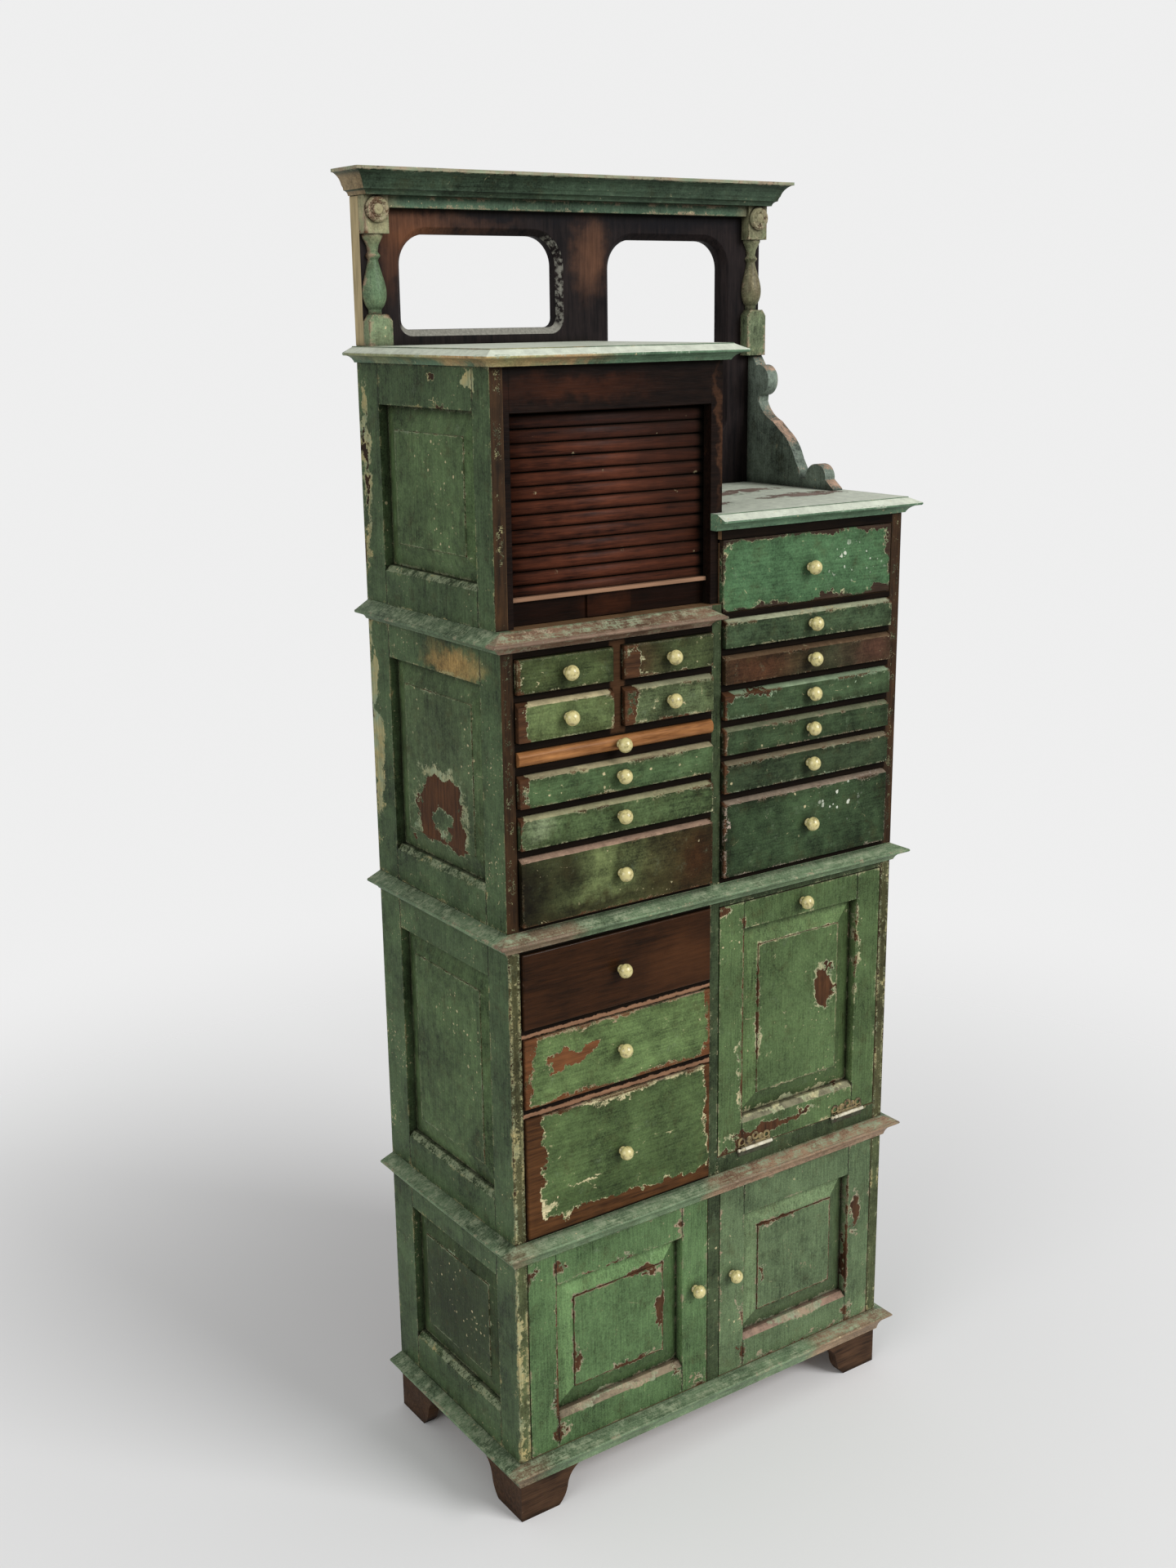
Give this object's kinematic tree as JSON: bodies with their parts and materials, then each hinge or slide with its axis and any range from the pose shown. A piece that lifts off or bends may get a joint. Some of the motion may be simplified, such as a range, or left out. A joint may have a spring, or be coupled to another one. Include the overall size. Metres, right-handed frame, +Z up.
{
  "type": "dental cabinet",
  "caption": "Tall narrow dental cabinet with stacked drawers, a roll-up tambour case, a stepped worktop, a fall front, panelled doors, an open gallery and bracket feet.",
  "frame": {"origin": "on the floor, under the middle of the cabinet's overall box", "axes": "+X to the cabinet's right as seen from the front, -Y towards the front, +Z up"},
  "size_m": [0.688, 0.3516, 1.735],
  "materials": {
    "green_paint": "worn, chipped green paint over brown wood",
    "brown_paint": "worn dark red-brown stain",
    "tambour_wood": "dark red-brown varnish",
    "dark_wood": "dark brown, dry",
    "inner_wood": "bare aged wood",
    "knob": "aged ivory-coloured, satin",
    "hinge_metal": "worn and partly painted over"
  },
  "bodies": {
    "carcass": {"back_boards": "inner_wood", "bracket_feet": "dark_wood", "cornice": "green_paint", "drawer_runners": "inner_wood", "gallery_board": "dark_wood", "hinge_fixed_parts": "hinge_metal", "moulded_boards": "green_paint", "partitions": "green_paint", "pilasters": "green_paint", "side_bracket": "green_paint", "side_frames": "green_paint", "side_panels": "green_paint", "tambour_case": "tambour_wood", "tambour_slats": "tambour_wood", "worktops": "green_paint"},
    "drawer_deep": {"drawer_deep": "green_paint", "knob_deep": "knob"},
    "drawer_thin_lower": {"drawer_thin_lower": "green_paint", "knob_thin_lower": "knob"},
    "drawer_thin_upper": {"drawer_thin_upper": "green_paint", "knob_thin_upper": "knob"},
    "writing_slide": {"writing_slide": "brown_paint", "knob_writing_slide": "knob"},
    "drawer_small_lower_left": {"drawer_small_lower_left": "green_paint", "knob_small_lower_left": "knob"},
    "drawer_small_lower_right": {"drawer_small_lower_right": "green_paint", "knob_small_lower_right": "knob"},
    "drawer_small_upper_left": {"drawer_small_upper_left": "green_paint", "knob_small_upper_left": "knob"},
    "drawer_small_upper_right": {"drawer_small_upper_right": "green_paint", "knob_small_upper_right": "knob"},
    "drawer_right_7": {"drawer_right_7": "green_paint", "knob_right_7": "knob"},
    "drawer_right_6": {"drawer_right_6": "green_paint", "knob_right_6": "knob"},
    "drawer_right_5": {"drawer_right_5": "green_paint", "knob_right_5": "knob"},
    "drawer_right_4": {"drawer_right_4": "green_paint", "knob_right_4": "knob"},
    "drawer_right_3": {"drawer_right_3": "brown_paint", "knob_right_3": "knob"},
    "drawer_right_2": {"drawer_right_2": "green_paint", "knob_right_2": "knob"},
    "drawer_right_1": {"drawer_right_1": "green_paint", "knob_right_1": "knob"},
    "drawer_middle_3": {"drawer_middle_3": "green_paint", "knob_middle_3": "knob"},
    "drawer_middle_2": {"drawer_middle_2": "green_paint", "knob_middle_2": "knob"},
    "drawer_middle_1": {"drawer_middle_1": "brown_paint", "knob_middle_1": "knob"},
    "left_door": {"left_door": "green_paint", "knob_left_door": "knob"},
    "right_door": {"right_door": "green_paint", "knob_right_door": "knob"},
    "fall_front": {"fall_front": "green_paint", "knob_fall_front": "knob", "fall_hinge_leaves": "hinge_metal"},
    "tambour": {"tambour_lift_rail": "tambour_wood"}
  },
  "joints": [
    {"name": "drawer_deep_slide", "type": "slide", "parent": "carcass", "child": "drawer_deep", "axis": [0, -1, 0], "range_m": [0, 0.215]},
    {"name": "drawer_thin_lower_slide", "type": "slide", "parent": "carcass", "child": "drawer_thin_lower", "axis": [0, -1, 0], "range_m": [0, 0.215]},
    {"name": "drawer_thin_upper_slide", "type": "slide", "parent": "carcass", "child": "drawer_thin_upper", "axis": [0, -1, 0], "range_m": [0, 0.215]},
    {"name": "writing_slide_slide", "type": "slide", "parent": "carcass", "child": "writing_slide", "axis": [0, -1, 0], "range_m": [0, 0.215]},
    {"name": "drawer_small_lower_left_slide", "type": "slide", "parent": "carcass", "child": "drawer_small_lower_left", "axis": [0, -1, 0], "range_m": [0, 0.215]},
    {"name": "drawer_small_lower_right_slide", "type": "slide", "parent": "carcass", "child": "drawer_small_lower_right", "axis": [0, -1, 0], "range_m": [0, 0.215]},
    {"name": "drawer_small_upper_left_slide", "type": "slide", "parent": "carcass", "child": "drawer_small_upper_left", "axis": [0, -1, 0], "range_m": [0, 0.215]},
    {"name": "drawer_small_upper_right_slide", "type": "slide", "parent": "carcass", "child": "drawer_small_upper_right", "axis": [0, -1, 0], "range_m": [0, 0.215]},
    {"name": "drawer_right_7_slide", "type": "slide", "parent": "carcass", "child": "drawer_right_7", "axis": [0, -1, 0], "range_m": [0, 0.215]},
    {"name": "drawer_right_6_slide", "type": "slide", "parent": "carcass", "child": "drawer_right_6", "axis": [0, -1, 0], "range_m": [0, 0.215]},
    {"name": "drawer_right_5_slide", "type": "slide", "parent": "carcass", "child": "drawer_right_5", "axis": [0, -1, 0], "range_m": [0, 0.215]},
    {"name": "drawer_right_4_slide", "type": "slide", "parent": "carcass", "child": "drawer_right_4", "axis": [0, -1, 0], "range_m": [0, 0.215]},
    {"name": "drawer_right_3_slide", "type": "slide", "parent": "carcass", "child": "drawer_right_3", "axis": [0, -1, 0], "range_m": [0, 0.215]},
    {"name": "drawer_right_2_slide", "type": "slide", "parent": "carcass", "child": "drawer_right_2", "axis": [0, -1, 0], "range_m": [0, 0.215]},
    {"name": "drawer_right_1_slide", "type": "slide", "parent": "carcass", "child": "drawer_right_1", "axis": [0, -1, 0], "range_m": [0, 0.215]},
    {"name": "drawer_middle_3_slide", "type": "slide", "parent": "carcass", "child": "drawer_middle_3", "axis": [0, -1, 0], "range_m": [0, 0.215]},
    {"name": "drawer_middle_2_slide", "type": "slide", "parent": "carcass", "child": "drawer_middle_2", "axis": [0, -1, 0], "range_m": [0, 0.215]},
    {"name": "drawer_middle_1_slide", "type": "slide", "parent": "carcass", "child": "drawer_middle_1", "axis": [0, -1, 0], "range_m": [0, 0.215]},
    {"name": "left_door_hinge", "type": "hinge", "parent": "carcass", "child": "left_door", "pos_m": [-0.2985, -0.14625, 0.236], "axis": [0, 0, -1], "range_deg": [0, 100]},
    {"name": "right_door_hinge", "type": "hinge", "parent": "carcass", "child": "right_door", "pos_m": [0.2985, -0.14625, 0.236], "axis": [0, 0, 1], "range_deg": [0, 100]},
    {"name": "fall_front_hinge", "type": "hinge", "parent": "carcass", "child": "fall_front", "pos_m": [0.1565, -0.15185, 0.43675], "axis": [1, 0, 0], "range_deg": [0, 90]},
    {"name": "tambour_lift", "type": "slide", "parent": "carcass", "child": "tambour", "axis": [0, 0, 1], "range_m": [0, 0.212], "deforming": ["tambour_slats"]}
  ]
}
